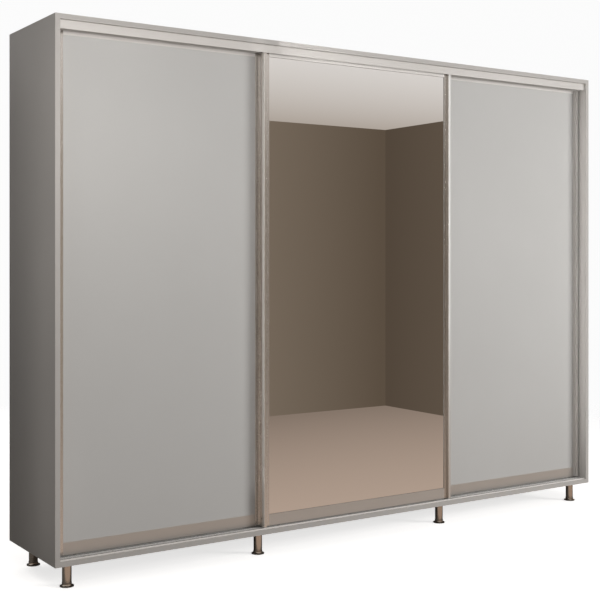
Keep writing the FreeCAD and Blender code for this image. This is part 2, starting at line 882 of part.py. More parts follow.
def bottom_rail(name, x_low, x_high, y_front):
    """The frame's lower bar: a slot above for the panel, a web with a screw bore, a channel below."""
    slot_low = bottom_rail_height - rail_slot_depth
    web_low = slot_low - bottom_rail_web
    flange_back = panel_slot_back + frame_wall
    section = [
        (lip_proud, 0),
        (panel_slot_front, 0),
        (panel_slot_front, web_low),
        (frame_depth - frame_wall, web_low),
        (frame_depth - frame_wall, 0),
        (frame_depth, 0),
        (frame_depth, slot_low),
        (flange_back, slot_low),
        (flange_back, bottom_rail_height),
        (panel_slot_back, bottom_rail_height),
        (panel_slot_back, slot_low),
        (panel_slot_front, slot_low),
        (panel_slot_front, bottom_rail_height),
        (lip_proud, bottom_rail_height),
    ]
    bar = extrusion(f"{name}_bar", "YZ_Plane", section, x_high - x_low)
    place(bar, (x_low, y_front, door_bottom))
    height = door_bottom + lower_screw_height
    return cut(name, bar, rail_bores(name, x_low, x_high, y_front + roller_line, height))


def top_rail(name, x_low, x_high, y_front):
    """The frame's upper bar: a slot below for the panel, a web with a screw bore, a channel above."""
    web_high = rail_slot_depth + top_rail_web
    flange_back = panel_slot_back + frame_wall
    section = [
        (lip_proud, 0),
        (panel_slot_front, 0),
        (panel_slot_front, rail_slot_depth),
        (panel_slot_back, rail_slot_depth),
        (panel_slot_back, 0),
        (flange_back, 0),
        (flange_back, rail_slot_depth),
        (frame_depth, rail_slot_depth),
        (frame_depth, top_rail_height),
        (frame_depth - frame_wall, top_rail_height),
        (frame_depth - frame_wall, web_high),
        (panel_slot_front, web_high),
        (panel_slot_front, top_rail_height),
        (lip_proud, top_rail_height),
    ]
    bar = extrusion(f"{name}_bar", "YZ_Plane", section, x_high - x_low)
    place(bar, (x_low, y_front, door_top - top_rail_height))
    height = door_top - top_rail_height + upper_screw_height
    return cut(name, bar, rail_bores(name, x_low, x_high, y_front + roller_line, height))


def rail_bores(name, x_low, x_high, depth, height):
    """One blind bore in each end of a rail."""
    reach = frame_screw_reach - stile_width + slot_floor
    return [
        rod(f"{name}_bore_left", (x_low, depth, height), "+X", frame_screw_radius, reach),
        rod(f"{name}_bore_right", (x_high, depth, height), "-X", frame_screw_radius, reach),
    ]


def frame_screws(name, x_low, x_high, y_front):
    """Four screws from inside the stiles' hollows into the rails' ends."""
    seat_in = slot_floor - frame_wall
    screws = []
    for index, height in enumerate(frame_screw_heights()):
        for side, seat, direction in (
            ("left", x_low + seat_in, "+X"),
            ("right", x_high - seat_in, "-X"),
        ):
            screws.append(
                screw(
                    f"{name}_screw_{side}_{index}",
                    (seat, y_front + roller_line, height),
                    direction,
                    frame_screw_radius,
                    frame_screw_reach + frame_wall,
                    frame_screw_head_radius,
                    frame_screw_head_height,
                )
            )
    return group(f"{name}_screw_group", screws)


def door_panel(name, x_low, x_high, y_low, y_high):
    """The filling, which stands in the frame's slots."""
    return block(
        name,
        (
            x_low + slot_floor + panel_side_play,
            y_low,
            door_bottom + bottom_rail_height - rail_slot_depth + panel_end_play,
        ),
        (
            x_high - slot_floor - panel_side_play,
            y_high,
            door_top - top_rail_height + rail_slot_depth - panel_end_play,
        ),
    )


def mirror_gasket(x_low, x_high, y_front, mirror):
    """A channel-shaped seal that fills the frame's slot round the mirror's edge."""
    low = (
        x_low + slot_floor,
        y_front + panel_slot_front,
        door_bottom + bottom_rail_height - rail_slot_depth,
    )
    high = (
        x_high - slot_floor,
        y_front + panel_slot_back,
        door_top - top_rail_height + rail_slot_depth,
    )
    outer = block("gasket_outer", low, high)
    inner = block(
        "gasket_window",
        (x_low + stile_width, y_front, door_bottom + bottom_rail_height),
        (x_high - stile_width, y_front + frame_depth, door_top - top_rail_height),
    )
    return cut("gasket_ring", outer, [fuse("gasket_hollow", [inner, mirror])])


def wheel(name, x_centre, y_centre):
    """A plastic wheel with a chamfered tread and a ring recess in each face."""
    half = wheel_width / 2
    hub = wheel_bore_radius + wheel_hub_wall
    rim = wheel_radius - wheel_rim_wall
    section = [
        (wheel_bore_radius, -half),
        (hub, -half),
        (hub, -half + wheel_recess),
        (rim, -half + wheel_recess),
        (rim, -half),
        (wheel_radius - wheel_bevel, -half),
        (wheel_radius, -half + wheel_bevel),
        (wheel_radius, half - wheel_bevel),
        (wheel_radius - wheel_bevel, half),
        (rim, half),
        (rim, half - wheel_recess),
        (hub, half - wheel_recess),
        (hub, half),
        (wheel_bore_radius, half),
    ]
    body = turning(f"{name}_body", section)
    body.Placement = Placement(Vector(), AXIS_TURNS["+Y"])
    place(body, (x_centre, y_centre, wheel_height))
    return body


def roller_carrier(name, x_centre, y_front):
    """A housing in the bottom rail's channel, slotted for its wheel, and the wheel's axle."""
    y_centre = y_front + roller_line
    housing = block(
        f"{name}_blank",
        (x_centre - carrier_length / 2, y_centre - carrier_width / 2, door_bottom - carrier_drop),
        (x_centre + carrier_length / 2, y_centre + carrier_width / 2, door_bottom + carrier_top),
    )
    half_slot = wheel_radius + wheel_slot_gap
    wheel_slot = block(
        f"{name}_slot",
        (x_centre - half_slot, y_centre - wheel_slot_width / 2, door_bottom - carrier_drop - 1),
        (x_centre + half_slot, y_centre + wheel_slot_width / 2, wheel_height + half_slot),
    )
    start = (x_centre, y_centre - carrier_width / 2, wheel_height)
    bore = rod(f"{name}_bore", start, "+Y", axle_radius, carrier_width)
    axle = rod(f"{name}_axle", start, "+Y", axle_radius, carrier_width)
    return [cut(name, housing, [fuse(f"{name}_hollow", [wheel_slot, bore])]), axle]


def top_guide(name, x_centre, y_front):
    """A nylon guide: its stem stands in the top rail's channel and its head runs in the top track."""
    channel_middle = (panel_slot_front + frame_depth - frame_wall) / 2
    stem_half = carrier_width / 2
    y_stem = y_front + channel_middle
    stem_low = door_top - top_rail_height + rail_slot_depth + top_rail_web
    head_low = door_top + guide_head_lift
    head_middle = y_front + frame_depth / 2 + guide_head_shift
    stem = block(
        f"{name}_stem",
        (x_centre - guide_length / 2, y_stem - stem_half, stem_low),
        (x_centre + guide_length / 2, y_stem + stem_half, head_low),
    )
    head = block(
        f"{name}_head",
        (x_centre - guide_length / 2, head_middle - guide_head_width / 2, head_low),
        (x_centre + guide_length / 2, head_middle + guide_head_width / 2, head_low + guide_head_height),
    )
    return fuse(name, [stem, head])


def pile_strips(name, x_low, x_high, y_front, behind):
    """Dust seals: behind the stiles of the front door, on the outer edges of a rear door."""
    z_low = door_bottom + pile_lower_margin
    z_high = door_top - top_rail_height - pile_margin
    if behind:
        spans = [
            (x_low + pile_margin, x_low + pile_margin + pile_width),
            (x_high - pile_margin - pile_width, x_high - pile_margin),
        ]
        y_low = y_front + frame_depth
        y_high = y_low + pile_height
    else:
        spans = [(x_low - edge_pile_height, x_low), (x_high, x_high + edge_pile_height)]
        y_low = y_front + edge_pile_setback
        y_high = y_low + pile_width
    strips = [
        block(f"{name}_pile_{i}", (low, y_low, z_low), (high, y_high, z_high))
        for i, (low, high) in enumerate(spans)
    ]
    return group(f"{name}_pile_group", strips)


def door(name, x_low, x_high, y_front, mirrored_filling):
    """One sliding door with its frame, filling, seals, rollers and guides."""
    sub_part(f"{name}_stile_left", stile(f"{name}_stile_l", False, x_low, y_front))
    sub_part(f"{name}_stile_right", stile(f"{name}_stile_r", True, x_high, y_front))
    rail_low = x_low + stile_width
    rail_high = x_high - stile_width
    sub_part(f"{name}_rail_bottom", bottom_rail(f"{name}_rail_b", rail_low, rail_high, y_front))
    sub_part(f"{name}_rail_top", top_rail(f"{name}_rail_t", rail_low, rail_high, y_front))
    sub_part(f"{name}_frame_screws", frame_screws(name, x_low, x_high, y_front))
    if mirrored_filling:
        y_glass = y_front + mirror_recess
        glass = (x_low, x_high, y_glass, y_glass + mirror_thickness)
        sub_part(f"{name}_mirror", door_panel(f"{name}_glass", *glass))
        seat = door_panel(f"{name}_glass_seat", *glass)
        sub_part(f"{name}_gasket", mirror_gasket(x_low, x_high, y_front, seat))
    else:
        y_panel = y_front + panel_slot_front + (slot_width - panel_thickness) / 2
        panel = door_panel(f"{name}_filling", x_low, x_high, y_panel, y_panel + panel_thickness)
        sub_part(f"{name}_panel", panel)
    sub_part(
        f"{name}_pile_strips", pile_strips(name, x_low, x_high, y_front, mirrored_filling)
    )
    running_gear = []
    for side, x_centre in (("left", x_low + wheel_inset), ("right", x_high - wheel_inset)):
        running_gear += roller_carrier(f"{name}_carrier_{side}", x_centre, y_front)
        running_gear.append(top_guide(f"{name}_guide_{side}", x_centre, y_front))
        sub_part(
            f"{name}_wheel_{side}",
            wheel(f"{name}_wheel_{side}", x_centre, y_front + roller_line),
        )
    sub_part(f"{name}_running_gear", group(f"{name}_gear_group", running_gear))


def doors():
    half_mirror = mirror_door_width / 2
    outer_low = inside_left + door_side_gap
    outer_high = door_overlap - half_mirror
    door("door_left", outer_low, outer_high, rear_door_front, False)
    door("door_mirror", -half_mirror, half_mirror, mirror_door_front, True)
    door("door_right", -outer_high, -outer_low, rear_door_front, False)


# ---------------------------------------------------------------- build, check and write


def check_and_write():
    """Stop if anything failed, then write each sub-part to its own file."""
    doc.recompute()
    for item in doc.Objects:
        if {"Invalid", "Error"} & set(item.State):
            raise RuntimeError(f"{item.Label} failed: {item.State}")
    os.makedirs("parts", exist_ok=True)
    for item in sub_parts:
        shape = item.Shape
        if shape.isNull() or not shape.isValid() or not shape.Solids:
            raise RuntimeError(f"{item.Label} has no valid shape")
        shape.exportStep(f"parts/{item.Label}.step")
        print(f"{item.Label}: {len(shape.Solids)} solids, {shape.Volume / 1000:.1f} cm3")
    print(f"{len(sub_parts)} sub-parts")


doc.recompute()
side_panels()
decks()
partitions()
back_panels()
shelves()
hanging_rails()
cam_fittings()
legs()
top_track()
bottom_track()
doors()
check_and_write()
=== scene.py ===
# %% [markdown]
# # A sliding door wardrobe, finished in Blender
#
# The cabinet, its doors, the tracks and everything that moves come in as a fixed frame, already at their real
# size in metres. This lesson gives them their surfaces, adds the small parts that a maker would look for, and
# sets up a plain studio. The front faces -Y, +Z is up, and the floor is at zero.

# %% Load the frame and keep its size
import math
import random

import bmesh
import bpy
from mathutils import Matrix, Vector


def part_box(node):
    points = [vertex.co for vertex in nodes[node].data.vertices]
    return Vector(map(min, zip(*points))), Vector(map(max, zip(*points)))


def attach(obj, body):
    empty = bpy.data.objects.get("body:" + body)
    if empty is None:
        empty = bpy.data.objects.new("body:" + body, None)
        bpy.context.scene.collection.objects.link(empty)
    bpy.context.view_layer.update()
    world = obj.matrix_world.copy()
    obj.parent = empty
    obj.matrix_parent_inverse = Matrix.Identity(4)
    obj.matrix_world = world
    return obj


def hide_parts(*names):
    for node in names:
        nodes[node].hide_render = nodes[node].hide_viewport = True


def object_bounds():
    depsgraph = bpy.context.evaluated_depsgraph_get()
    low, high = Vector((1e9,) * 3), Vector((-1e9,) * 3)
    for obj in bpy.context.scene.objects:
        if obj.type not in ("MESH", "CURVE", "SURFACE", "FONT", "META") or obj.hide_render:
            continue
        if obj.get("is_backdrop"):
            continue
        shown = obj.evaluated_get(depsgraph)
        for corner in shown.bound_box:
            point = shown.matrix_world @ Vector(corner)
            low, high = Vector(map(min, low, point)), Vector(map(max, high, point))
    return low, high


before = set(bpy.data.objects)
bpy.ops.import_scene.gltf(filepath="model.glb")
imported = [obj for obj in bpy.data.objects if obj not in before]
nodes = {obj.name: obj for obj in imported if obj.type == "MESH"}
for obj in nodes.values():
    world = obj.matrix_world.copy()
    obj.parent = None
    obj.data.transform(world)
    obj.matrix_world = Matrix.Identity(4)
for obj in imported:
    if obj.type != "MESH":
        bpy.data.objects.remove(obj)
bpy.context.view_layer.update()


# %% [markdown]
# ## Helpers for node trees
#
# A finish is a graph of nodes. Adding each node and each link by hand hides what the finish is about, so a
# few helpers do it. An effect that several finishes share, such as rubbed edges or drawn lines, is a group
# with named inputs and outputs: it is built once and gets its own values wherever it is used.

# %% Helpers: nodes, groups and materials
def add_node(tree, kind, values=None, **settings):
    """Add a shader node, set its properties, and set or link its inputs by name or number."""
    node = tree.nodes.new(f"ShaderNode{kind}")
    for name, value in settings.items():
        setattr(node, name, value)
    for name, value in (values or {}).items():
        if isinstance(value, bpy.types.NodeSocket):
            tree.links.new(value, node.inputs[name])
        else:
            node.inputs[name].default_value = value
    return node


SOCKET_TYPES = {"value": "NodeSocketFloat", "colour": "NodeSocketColor", "vector": "NodeSocketVector"}


def new_group(name, inputs, outputs):
    """Start a group: inputs are (label, kind, default), outputs are (label, kind)."""
    tree = bpy.data.node_groups.new(name, "ShaderNodeTree")
    for label, kind, value in inputs:
        socket = tree.interface.new_socket(label, in_out="INPUT", socket_type=SOCKET_TYPES[kind])
        socket.default_value = value
    for label, kind in outputs:
        tree.interface.new_socket(label, in_out="OUTPUT", socket_type=SOCKET_TYPES[kind])
    return tree, tree.nodes.new("NodeGroupInput").outputs, tree.nodes.new("NodeGroupOutput").inputs


def use_group(tree, name, values=None):
    """Place a shared group in a material with that material's own values."""
    node = tree.nodes.new("ShaderNodeGroup")
    node.node_tree = bpy.data.node_groups[name]
    for label, value in (values or {}).items():
        if isinstance(value, bpy.types.NodeSocket):
            tree.links.new(value, node.inputs[label])
        else:
            node.inputs[label].default_value = value
    return node.outputs


def new_finish(name, **fixed):
    """A material with one Principled shader; what is the same all over is set on the shader's own sockets."""
    material = bpy.data.materials.new(name)
    material.use_nodes = True
    shader = material.node_tree.nodes["Principled BSDF"]
    for label, value in fixed.items():
        shader.inputs[label.replace("_", " ")].default_value = value
    return material, material.node_tree, shader


def mix_colours(tree, factor, first, second):
    """Blend two colours by a mask; each may be a value or a socket."""
    mix = add_node(tree, "Mix", {"Factor": factor}, data_type="RGBA")
    for socket, value in ((mix.inputs[6], first), (mix.inputs[7], second)):
        if isinstance(value, bpy.types.NodeSocket):
            tree.links.new(value, socket)
        else:
            socket.default_value = (*value, 1.0)
    return mix.outputs[2]


def calculate(tree, operation, first, second=0.0):
    """One sum on one or two values or sockets."""
    node = add_node(tree, "Math", {0: first, 1: second}, operation=operation, use_clamp=False)
    return node.outputs[0]


def spread(tree, value, low, high, to_low=0.0, to_high=1.0):
    """Stretch a range of a value to another range, clamped."""
    limits = {"Value": value, "From Min": low, "From Max": high, "To Min": to_low, "To Max": to_high}
    return add_node(tree, "MapRange", limits).outputs["Result"]


def place_on_piece(tree):
    """The shaded point's X, Y and Z in metres on the wardrobe."""
    where = add_node(tree, "TexCoord").outputs["Object"]
    return add_node(tree, "SeparateXYZ", {"Vector": where}).outputs


def facing_of_surface(tree):
    """Which way the shaded surface faces, as X, Y and Z."""
    normal = add_node(tree, "NewGeometry").outputs["Normal"]
    return add_node(tree, "SeparateXYZ", {"Vector": normal}).outputs


# %% [markdown]
# ## Effects that the finishes share
#
# Board faces drift a little in tone from place to place, and their melamine skin has a fine pressed texture.
# Extruded aluminium carries faint lines along its length. Corners get rubbed and are painted lighter, partly
# as wear and partly as a painted highlight, and dust settles on whatever faces up. All of these work in
# object coordinates, which here are metres on the wardrobe, so one number means the same size on every piece.

# %% Group: slow drift between two tones
def make_tone_drift():
    tree, given, result = new_group(
        "tone_drift",
        [("First", "colour", (0.5, 0.5, 0.5, 1)), ("Second", "colour", (0.45, 0.45, 0.45, 1)),
         ("Scale", "value", 1.5)],
        [("Colour", "colour"), ("Mask", "value")],
    )
    where = add_node(tree, "TexCoord").outputs["Object"]
    noise = add_node(tree, "TexNoise", {"Vector": where, "Scale": given["Scale"], "Detail": 4.0})
    mask = spread(tree, noise.outputs["Fac"], 0.3, 0.7)
    tree.links.new(mask, result["Mask"])
    tree.links.new(mix_colours(tree, mask, given["First"], given["Second"]), result["Colour"])


# %% Group: the fine pressed texture of melamine
def make_pressed_skin():
    tree, given, result = new_group(
        "pressed_skin", [("Grain Scale", "value", 700.0)], [("Height", "value"), ("Grey", "value")]
    )
    where = add_node(tree, "TexCoord").outputs["Object"]
    pearl = add_node(tree, "TexVoronoi", {"Vector": where, "Scale": given["Grain Scale"]},
                     feature="SMOOTH_F1")
    fine = add_node(tree, "TexNoise", {"Vector": where, "Scale": given["Grain Scale"], "Detail": 2.0})
    height = calculate(tree, "ADD", pearl.outputs["Distance"], fine.outputs["Fac"])
    tree.links.new(height, result["Height"])
    tree.links.new(spread(tree, height, 0.4, 1.2), result["Grey"])


# %% Group: faint lines along a drawn or brushed bar
def make_drawn_lines():
    tree, given, result = new_group(
        "drawn_lines",
        [("Stretch", "vector", (1.0, 1.0, 0.01)), ("Scale", "value", 900.0)],
        [("Lines", "value"), ("Bands", "value")],
    )
    where = add_node(tree, "TexCoord").outputs["Object"]
    stretched = add_node(tree, "VectorMath", {0: where, 1: given["Stretch"]}, operation="MULTIPLY").outputs[0]
    fine = add_node(tree, "TexNoise", {"Vector": stretched, "Scale": given["Scale"], "Detail": 3.0})
    tree.links.new(spread(tree, fine.outputs["Fac"], 0.3, 0.7), result["Lines"])
    coarse_scale = calculate(tree, "MULTIPLY", given["Scale"], 0.12)
    coarse = add_node(tree, "TexNoise", {"Vector": stretched, "Scale": coarse_scale, "Detail": 2.0})
    tree.links.new(spread(tree, coarse.outputs["Fac"], 0.3, 0.7), result["Bands"])


# %% Group: corners that have been rubbed, lightened partly as wear and partly as a painted highlight
def make_rubbed_and_highlit_edges():
    tree, given, result = new_group(
        "rubbed_and_highlit_edges", [("Radius", "value", 0.002), ("Strength", "value", 1.0)], [("Mask", "value")]
    )
    rounded = add_node(tree, "Bevel", {"Radius": given["Radius"]}, samples=4).outputs["Normal"]
    flat = add_node(tree, "NewGeometry").outputs["Normal"]
    same = add_node(tree, "VectorMath", {0: rounded, 1: flat}, operation="DOT_PRODUCT").outputs["Value"]
    corner = spread(tree, same, 0.995, 0.8)
    where = add_node(tree, "TexCoord").outputs["Object"]
    patches = add_node(tree, "TexNoise", {"Vector": where, "Scale": 9.0, "Detail": 5.0}).outputs["Fac"]
    # This mask lightens corners: partly rubbed wear, partly a painted highlight.
    worn_and_highlit = calculate(tree, "MULTIPLY", corner, spread(tree, patches, 0.42, 0.62))
    tree.links.new(calculate(tree, "MULTIPLY", worn_and_highlit, given["Strength"]), result["Mask"])


# %% Group: dust on what faces up
def make_settled_dust():
    tree, given, result = new_group("settled_dust", [("Amount", "value", 0.3)], [("Mask", "value")])
    up = facing_of_surface(tree)["Z"]
    where = add_node(tree, "TexCoord").outputs["Object"]
    clouds = add_node(tree, "TexNoise", {"Vector": where, "Scale": 14.0, "Detail": 8.0}).outputs["Fac"]
    mask = calculate(tree, "MULTIPLY", spread(tree, up, 0.75, 0.98), spread(tree, clouds, 0.3, 0.75))
    tree.links.new(calculate(tree, "MULTIPLY", mask, given["Amount"]), result["Mask"])


# %% Group: the banded front edge of a board
def make_front_banding():
    """Band is the strip glued on the front edge, Seam is the hairline where it meets the board's face."""
    tree, given, result = new_group(
        "front_banding",
        [("Front", "value", -0.28), ("Thickness", "value", 0.0012)],
        [("Band", "value"), ("Seam", "value")],
    )
    depth = calculate(tree, "SUBTRACT", place_on_piece(tree)["Y"], given["Front"])
    inner = calculate(tree, "SUBTRACT", depth, given["Thickness"])
    tree.links.new(calculate(tree, "LESS_THAN", inner, 0.0), result["Band"])
    away = calculate(tree, "ABSOLUTE", inner)
    tree.links.new(spread(tree, away, 0.0004, 0.0001), result["Seam"])


for make_group in (make_tone_drift, make_pressed_skin, make_drawn_lines, make_rubbed_and_highlit_edges,
                   make_settled_dust, make_front_banding):
    make_group()
print("shared effects:", sorted(group.name for group in bpy.data.node_groups))


# %% [markdown]
# ## Finishes
#
# The boards are chipboard in a warm light grey melamine, matt with a soft sheen. The frames and tracks are
# satin anodised aluminium with a slight champagne tint, the legs are brushed nickel, and the middle door
# holds a silvered mirror. One function makes the board finish, because a board's front edge is banded and
# that edge lies at a different depth on the cabinet, on the inner boards and on the doors.

# %% Boards
def board_finish(name, tone, second_tone, front, roughness=0.42):
    material, tree, shader = new_finish(name, Specular_IOR_Level=0.45)
    drift = use_group(tree, "tone_drift", {"First": (*tone, 1), "Second": (*second_tone, 1), "Scale": 1.1})
    skin = use_group(tree, "pressed_skin", {"Grain Scale": 650.0})
    flecks = calculate(tree, "MULTIPLY", skin["Grey"], 0.06)
    speckled = mix_colours(tree, flecks, drift["Colour"], (0.9, 0.89, 0.87))
    band = use_group(tree, "front_banding", {"Front": front})
    light_edge = tuple(min(1.0, c * 1.06) for c in tone)
    banded = mix_colours(tree, calculate(tree, "MULTIPLY", band["Band"], 0.8), speckled, light_edge)
    seamed = mix_colours(tree, calculate(tree, "MULTIPLY", band["Seam"], 0.5), banded, (0.18, 0.17, 0.16))
    # Lighter corners here are partly rubbed wear and partly a painted highlight.
    rub_and_highlight = use_group(tree, "rubbed_and_highlit_edges", {"Radius": 0.0015, "Strength": 0.35})
    rubbed_and_highlit = mix_colours(tree, rub_and_highlight["Mask"], seamed, (0.68, 0.66, 0.63))
    dust = use_group(tree, "settled_dust", {"Amount": 0.25})
    dusty = mix_colours(tree, dust["Mask"], rubbed_and_highlit, (0.55, 0.53, 0.5))
    tree.links.new(dusty, shader.inputs["Base Color"])
    matt = spread(tree, drift["Mask"], 0.0, 1.0, roughness - 0.04, roughness + 0.05)
    tree.links.new(calculate(tree, "ADD", matt, calculate(tree, "MULTIPLY", dust["Mask"], 0.5)),
                   shader.inputs["Roughness"])
    bump = add_node(tree, "Bump", {"Height": skin["Height"], "Strength": 0.12, "Distance": 0.0003})
    tree.links.new(bump.outputs["Normal"], shader.inputs["Normal"])
    return material


cabinet_grey = (0.47, 0.452, 0.435)
cabinet_grey_second = (0.435, 0.418, 0.40)
door_grey = (0.545, 0.54, 0.53)
door_grey_second = (0.51, 0.505, 0.495)
carcass_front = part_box("side_panel_left")[0].y
inner_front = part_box("partition_left")[0].y
no_banding_in_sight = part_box("door_left_panel")[0].y - 1.0
outer_boards = board_finish("cabinet_board", cabinet_grey, cabinet_grey_second, carcass_front)
inner_boards = board_finish("inner_board", cabinet_grey, cabinet_grey_second, inner_front)
door_boards = board_finish("door_board", door_grey, door_grey_second, no_banding_in_sight, roughness=0.38)
print("board fronts at depth:", round(carcass_front, 3), round(inner_front, 3))


# %% [markdown]
# Thin fibreboard closes the back. The face towards the clothes is painted to match, and the face towards the
# wall is left raw, so one material looks at which way the face points.

# %% Back sheets
def back_sheet_finish():
    material, tree, shader = new_finish("back_fibreboard", Specular_IOR_Level=0.25)
    painted = use_group(tree, "tone_drift", {"First": (0.5, 0.48, 0.46, 1),
                                             "Second": (0.46, 0.445, 0.43, 1)})
    raw = use_group(tree, "tone_drift", {"First": (0.30, 0.205, 0.135, 1),
                                         "Second": (0.24, 0.16, 0.10, 1), "Scale": 3.0})
    where = add_node(tree, "TexCoord").outputs["Object"]
    fibres = add_node(tree, "TexNoise", {"Vector": where, "Scale": 260.0, "Detail": 6.0, "Distortion": 1.5})
    fibre_mask = spread(tree, fibres.outputs["Fac"], 0.35, 0.7)
    pale_fibres = calculate(tree, "MULTIPLY", fibre_mask, 0.45)
    mottled = mix_colours(tree, pale_fibres, raw["Colour"], (0.38, 0.27, 0.18))
    toward_wall = spread(tree, facing_of_surface(tree)["Y"], 0.4, 0.6)
    two_faced = mix_colours(tree, toward_wall, painted["Colour"], mottled)
    tree.links.new(two_faced, shader.inputs["Base Color"])
    tree.links.new(spread(tree, fibre_mask, 0.0, 1.0, 0.55, 0.75), shader.inputs["Roughness"])
    bump = add_node(tree, "Bump", {"Height": fibre_mask, "Strength": 0.15, "Distance": 0.0002})
    tree.links.new(bump.outputs["Normal"], shader.inputs["Normal"])
    return material


back_fibreboard = back_sheet_finish()


# %% [markdown]
# Anodised aluminium is a metal with a satin skin: the lines of the extrusion run along each bar, so they show
# as a stretched noise in the roughness and in a very small bump. The stretch differs between uprights and
# level bars. A thick satin skin also scatters light as paint does, so a lower metallic value stands for the
# duller bars: the top rails and the tracks are pale. The lower rails are a darker copy of the same aluminium,
# as painted shade, and the right door's outer upright is a copy with less metal, which the lamps light paler,
# as painted light.
#
# Three bars aren't even all over, and each difference is painted light or shade. The floor of the bottom
# track's channels, behind the front lip, is painted dark as shade. The middle door's right upright is painted
# a tone darker as shade, with a painted highlight on its lip that is strongest up high and fades towards the
# foot. The middle door's other upright has a painted highlight on its rounded flank. Each gets a mask that
# says where it differs.

# %% Where a bar differs
def channel_painted_shade(tree):
    """Painted shade, patchy, on the floor of the bottom track's channels, behind the lip."""
    low_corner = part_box("bottom_track")[0]
    lip_back = low_corner.y + 0.0018
    channel_floor = low_corner.z + 0.0025
    place = place_on_piece(tree)
    behind_lip = spread(tree, place["Y"], lip_back, lip_back + 0.0003)
    low_down = spread(tree, place["Z"], channel_floor, channel_floor + 0.0004, 1.0, 0.0)
    where = add_node(tree, "TexCoord").outputs["Object"]
    shade_patches = add_node(tree, "TexNoise", {"Vector": where, "Scale": 60.0})
    patchy = spread(tree, shade_patches.outputs["Fac"], 0.3, 0.7, 0.82, 0.97)
    return calculate(tree, "MULTIPLY", calculate(tree, "MULTIPLY", behind_lip, low_down), patchy)


def painted_lip_highlight(tree):
    """A painted highlight on the lip of the middle door's right upright, full above about a metre and fading
    towards the foot.
    """
    lip_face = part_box("door_mirror_stile_right")[0].y
    foot_of_highlight, full_highlight_height = 0.15, 1.05
    place = place_on_piece(tree)
    on_lip = spread(tree, place["Y"], lip_face + 0.0012, lip_face + 0.0004)
    highlight_fade = spread(tree, place["Z"], foot_of_highlight, full_highlight_height, 0.35, 1.0)
    return calculate(tree, "MULTIPLY", on_lip, highlight_fade)


def painted_flank_highlight(tree):
    """A painted highlight on the side of the middle door's left upright, near its front."""
    lip_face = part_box("door_mirror_stile_left")[0].y
    near_front = spread(tree, place_on_piece(tree)["Y"], lip_face + 0.019, lip_face + 0.015)
    sideways = spread(tree, facing_of_surface(tree)["X"], -0.3, -0.7)
    return calculate(tree, "MULTIPLY", near_front, sideways)


# %% Metals
def metal_finish(name, tone, second_tone, stretch, roughness, line_scale=900.0, line_depth=0.03, rub_and_highlight=0.15,
                 metallic=1.0, differs=None):
    """Drawn or brushed metal; differs is (mask maker, colour there, metallic there or None)."""
    material, tree, shader = new_finish(name, Metallic=metallic)
    lines = use_group(tree, "drawn_lines", {"Stretch": stretch, "Scale": line_scale})
    drift = use_group(tree, "tone_drift", {"First": (*tone, 1), "Second": (*second_tone, 1), "Scale": 2.5})
    faint_bands = calculate(tree, "MULTIPLY", lines["Bands"], 0.08)
    streaked = mix_colours(tree, faint_bands, drift["Colour"], second_tone)
    # Lighter corners here are partly rubbed wear and partly a painted highlight.
    worn_and_highlit = use_group(tree, "rubbed_and_highlit_edges", {"Radius": 0.001, "Strength": rub_and_highlight})
    edge_highlight = tuple(min(0.95, c * 1.2) for c in tone)
    dust = use_group(tree, "settled_dust", {"Amount": 0.18})
    rubbed_and_highlit = mix_colours(tree, worn_and_highlit["Mask"], streaked, edge_highlight)
    colour = mix_colours(tree, dust["Mask"], rubbed_and_highlit, (0.5, 0.48, 0.45))
    if differs:
        make_mask, colour_there, metallic_there = differs
        mask = make_mask(tree)
        colour = mix_colours(tree, mask, colour, colour_there)
        if metallic_there is not None:
            tree.links.new(spread(tree, mask, 0.0, 1.0, metallic, metallic_there), shader.inputs["Metallic"])
    tree.links.new(colour, shader.inputs["Base Color"])
    satin = spread(tree, lines["Lines"], 0.0, 1.0, roughness - 0.02, roughness + 0.03)
    tree.links.new(calculate(tree, "ADD", satin, calculate(tree, "MULTIPLY", dust["Mask"], 0.6)),
                   shader.inputs["Roughness"])
    bump = add_node(tree, "Bump", {"Height": lines["Lines"], "Strength": line_depth, "Distance": 0.0002})
    tree.links.new(bump.outputs["Normal"], shader.inputs["Normal"])
    return material


along_z = (1.0, 1.0, 0.004)
along_x = (0.004, 1.0, 1.0)
round_z = (0.02, 0.02, 1.0)
not_stretched = (1.0, 1.0, 1.0)
champagne = (0.75, 0.727, 0.70)
champagne_second = (0.71, 0.685, 0.655)
upright_aluminium = metal_finish("upright_aluminium", champagne, champagne_second, along_z, 0.25,
                                 rub_and_highlight=0.03, metallic=0.85)
# The middle door's right upright: painted a tone darker as shade, with a paler, less metal painted highlight
# on its lip.
shaded_aluminium_with_lip_highlight = metal_finish("shaded_aluminium_with_lip_highlight", (0.62, 0.595, 0.565), (0.58, 0.555, 0.525),
                                 along_z, 0.25, rub_and_highlight=0.03, metallic=0.9,
                                 differs=(painted_lip_highlight, (0.84, 0.83, 0.815), 0.15))
# The middle door's left upright gets a paler, less metal patch on its flank: a painted highlight.
flank_highlit_aluminium = metal_finish("flank_highlit_aluminium", champagne, champagne_second, along_z, 0.25,
                                 rub_and_highlight=0.03, metallic=0.85, differs=(painted_flank_highlight, (0.86, 0.83, 0.79), 0.2))
# The right door's outer upright: a copy with less metal, so the lamps light it paler, as painted light.
lit_end_aluminium = metal_finish("lit_end_aluminium", (0.66, 0.645, 0.625), (0.63, 0.615, 0.595), along_z, 0.3,
                             rub_and_highlight=0.03, metallic=0.3)
level_aluminium = metal_finish("level_aluminium", (0.85, 0.83, 0.81), (0.81, 0.79, 0.77), along_x, 0.30,
                               metallic=0.4)
